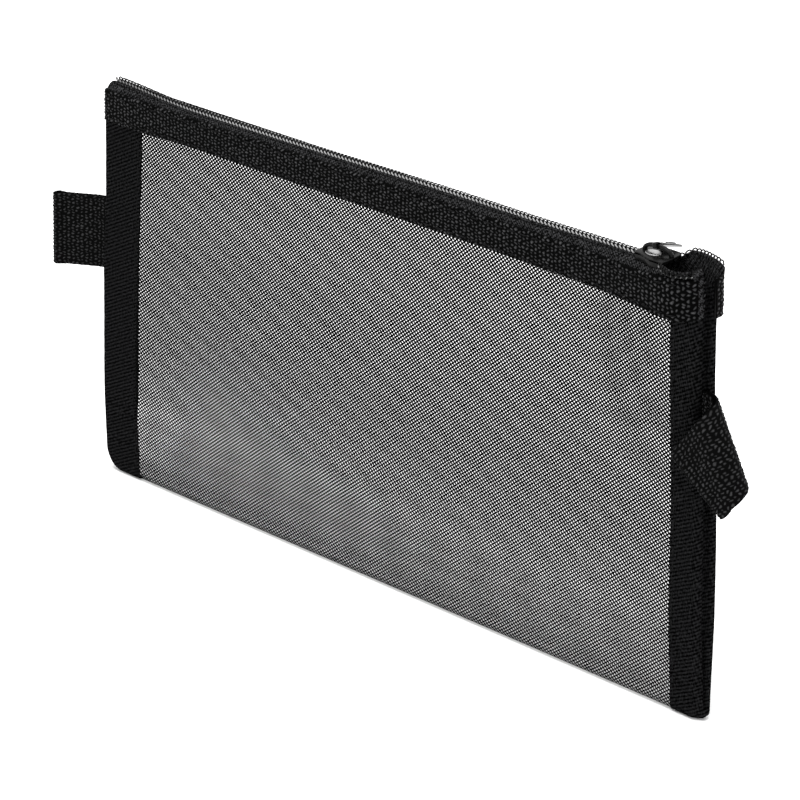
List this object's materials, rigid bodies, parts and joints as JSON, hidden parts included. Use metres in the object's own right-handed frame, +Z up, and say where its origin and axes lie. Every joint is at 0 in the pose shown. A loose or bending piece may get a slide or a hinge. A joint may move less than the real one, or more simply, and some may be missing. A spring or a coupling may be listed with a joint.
{
  "type": "flat pencil case",
  "caption": "Flat upright mesh pouch with woven side strips, webbing bands along a top coil zip with slider and pull tab, and a folded webbing loop on each side.",
  "frame": {"origin": "middle of the folded bottom edge, on the surface that the case stands on", "axes": "+X along the zip towards its open end, -Y towards the front, +Z up to the zip"},
  "size_m": [0.2406, 0.0178, 0.1254],
  "materials": {
    "net": "open plain-weave nylon net, black",
    "strip_cloth": "fine woven polyester cloth, black",
    "webbing": "coarse woven polypropylene webbing, black",
    "zip_tape": "knitted zip tape, black",
    "zip_coil": "nylon coil, black",
    "slider_paint": "black paint on a die-cast slider, semi-gloss",
    "pull_metal": "satin nickel",
    "thread": "black polyester sewing thread"
  },
  "bodies": {
    "case": {"mesh_body": "net", "left_side_strip": "strip_cloth", "right_side_strip": "strip_cloth", "front_top_band": "webbing", "back_top_band": "webbing", "front_zip_tape": "zip_tape", "back_zip_tape": "zip_tape", "front_zip_coil": "zip_coil", "back_zip_coil": "zip_coil", "left_loop_root": "webbing", "right_loop_root": "webbing", "left_seam_binding": "strip_cloth", "right_seam_binding": "strip_cloth", "front_band_stitching": "thread", "back_band_stitching": "thread", "left_strip_stitching": "thread", "right_strip_stitching": "thread", "left_seam_stitching": "thread", "right_seam_stitching": "thread"},
    "slider": {"slider_body": "slider_paint", "slider_crown": "slider_paint"},
    "pull": {"pull_tab": "pull_metal"},
    "left_loop": {"left_loop": "webbing"},
    "right_loop": {"right_loop": "webbing"}
  },
  "joints": [
    {"name": "slider_slide", "type": "slide", "parent": "case", "child": "slider", "axis": [1, 0, 0], "range_m": [-0.183, 0.007], "deforming": ["front_zip_coil", "back_zip_coil"]},
    {"name": "pull_swing", "type": "hinge", "parent": "slider", "child": "pull", "pos_m": [0.087, 0, 0.12345], "axis": [1, 0, 0], "range_deg": [0, 214]},
    {"name": "left_loop_bend", "type": "hinge", "parent": "case", "child": "left_loop", "pos_m": [-0.1065, 0, 0.0732], "axis": [0, 0, 1], "range_deg": [-110, 50]},
    {"name": "right_loop_bend", "type": "hinge", "parent": "case", "child": "right_loop", "pos_m": [0.1065, 0, 0.0778], "axis": [0, 0, 1], "range_deg": [0, 85]}
  ]
}
